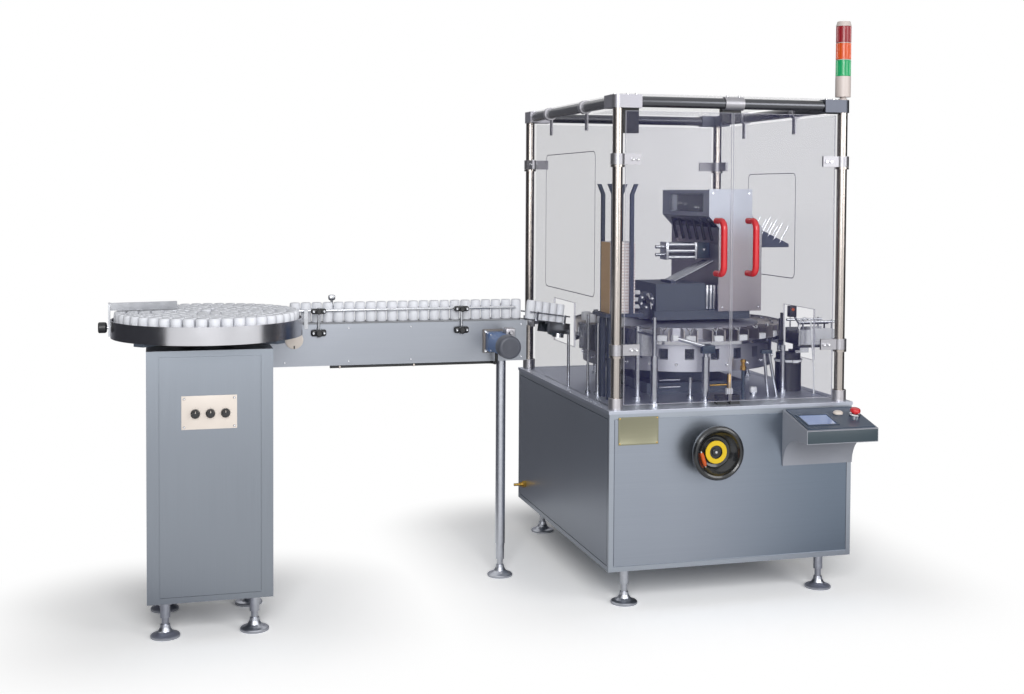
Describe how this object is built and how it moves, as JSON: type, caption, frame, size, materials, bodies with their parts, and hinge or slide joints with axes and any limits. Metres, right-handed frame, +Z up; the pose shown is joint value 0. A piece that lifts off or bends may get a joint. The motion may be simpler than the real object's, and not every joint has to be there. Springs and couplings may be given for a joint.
{
  "type": "automatic cartoner",
  "caption": "Upright rotary cartoner with glazed guard doors, carton carousel, console and handwheel, fed with bottles by a round turntable and a straight conveyor.",
  "frame": {"origin": "middle of the bounding box on the floor under the feet", "axes": "+X along the conveyor towards the cartoner and its outfeed, +Y from the operator's front to the rear, +Z up"},
  "size_m": [2.8422, 1.415, 2.179],
  "materials": {
    "cabinet_steel": "satin brushed sheet",
    "bright_steel": "polished",
    "foot_steel": "satin",
    "post_steel": "satin",
    "rail_dark": "semi-gloss gunmetal",
    "clear_panel": "clear",
    "clamp_grey": "satin cast",
    "handle_red": "gloss",
    "catch_black": "matte",
    "tower_grey": "satin",
    "lamp_green": "translucent",
    "lamp_amber": "translucent",
    "lamp_red": "translucent",
    "console_paint": "semi-gloss",
    "console_dark": "semi-gloss",
    "switch_chrome": "polished",
    "stop_red": "gloss",
    "wheel_black": "gloss",
    "brass": "polished",
    "machine_grey": "satin",
    "guide_blue": "satin",
    "carton": "matte",
    "belt_black": "matte",
    "drive_black": "satin",
    "chain_grey": "satin",
    "motor_blue": "satin",
    "bottle_white": "satin"
  },
  "bodies": {
    "machine": {"base_cabinet": "cabinet_steel", "cabinet_panels": "cabinet_steel", "deck_plate": "cabinet_steel", "levelling_feet": "foot_steel", "guard_posts": "post_steel", "top_rails": "rail_dark", "corner_blocks": "rail_dark", "roof_panel": "clear_panel", "left_guard": "clear_panel", "right_guard": "clear_panel", "rear_guard": "clear_panel", "panel_clips": "clamp_grey", "door_catches": "catch_black", "signal_body": "tower_grey", "green_lamp": "lamp_green", "amber_lamp": "lamp_amber", "red_lamp": "lamp_red", "console_box": "console_paint", "console_face": "console_dark", "console_switches": "switch_chrome", "air_inlet": "brass", "index_base": "machine_grey", "station_frame": "bright_steel", "magazine": "guide_blue", "carton_stack": "carton", "folder_stand": "machine_grey", "folder_housing": "machine_grey", "folder_cylinder": "bright_steel", "leaflet_tray": "guide_blue", "carton_picker": "machine_grey", "outfeed_bed": "cabinet_steel", "outfeed_belt": "belt_black", "outfeed_drive": "drive_black", "column_body": "cabinet_steel", "column_panel": "cabinet_steel", "table_pedestal": "machine_grey", "table_rim": "bright_steel", "table_arm": "bright_steel", "conveyor_frame": "cabinet_steel", "conveyor_belt": "chain_grey", "guide_rails": "bright_steel", "rail_brackets": "catch_black", "belt_motor": "motor_blue", "motor_cable": "belt_black", "bottles": "bottle_white", "bottle_chute": "bright_steel"},
    "left_door": {"left_door": "clear_panel", "left_hinges": "clamp_grey", "left_handle": "handle_red"},
    "right_door": {"right_door": "clear_panel", "right_hinges": "clamp_grey", "right_handle": "handle_red"},
    "handwheel": {"handwheel": "wheel_black"},
    "stop_button": {"stop_button": "stop_red"},
    "carousel": {"carousel_drum": "machine_grey", "carousel_fins": "bright_steel"},
    "table_disc": {"table_disc": "bright_steel"},
    "left_knob": {"left_knob": "catch_black"},
    "middle_knob": {"middle_knob": "catch_black"},
    "right_knob": {"right_knob": "catch_black"}
  },
  "joints": [
    {"name": "left_door_swing", "type": "hinge", "parent": "machine", "child": "left_door", "pos_m": [0.39315, -0.4795, 1.292], "axis": [0, 0, -1], "range_deg": [0, 110]},
    {"name": "right_door_swing", "type": "hinge", "parent": "machine", "child": "right_door", "pos_m": [1.30114, -0.4795, 1.292], "axis": [0, 0, 1], "range_deg": [0, 110]},
    {"name": "handwheel_turn", "type": "hinge", "parent": "machine", "child": "handwheel", "pos_m": [0.75314, -0.5415, 0.575], "axis": [0, -1, 0], "continuous": true},
    {"name": "stop_button_press", "type": "slide", "parent": "machine", "child": "stop_button", "axis": [0, 0.2425, -0.9701], "range_m": [0, 0.005], "stiffness_N_per_m": 2000, "springref_m": -0.002},
    {"name": "carousel_turn", "type": "hinge", "parent": "machine", "child": "carousel", "pos_m": [0.84715, 0.0445, 0.882], "axis": [0, 0, 1], "continuous": true},
    {"name": "table_turn", "type": "hinge", "parent": "machine", "child": "table_disc", "pos_m": [-1.05114, -0.2455, 1.026], "axis": [0, 0, 1], "continuous": true},
    {"name": "left_knob_turn", "type": "hinge", "parent": "machine", "child": "left_knob", "pos_m": [-1.10115, -0.4555, 0.771], "axis": [0, -1, 0], "range_deg": [-150, 150]},
    {"name": "middle_knob_turn", "type": "hinge", "parent": "machine", "child": "middle_knob", "pos_m": [-1.05114, -0.4555, 0.771], "axis": [0, -1, 0], "range_deg": [-150, 150]},
    {"name": "right_knob_turn", "type": "hinge", "parent": "machine", "child": "right_knob", "pos_m": [-1.00114, -0.4555, 0.771], "axis": [0, -1, 0], "range_deg": [-150, 150]}
  ]
}
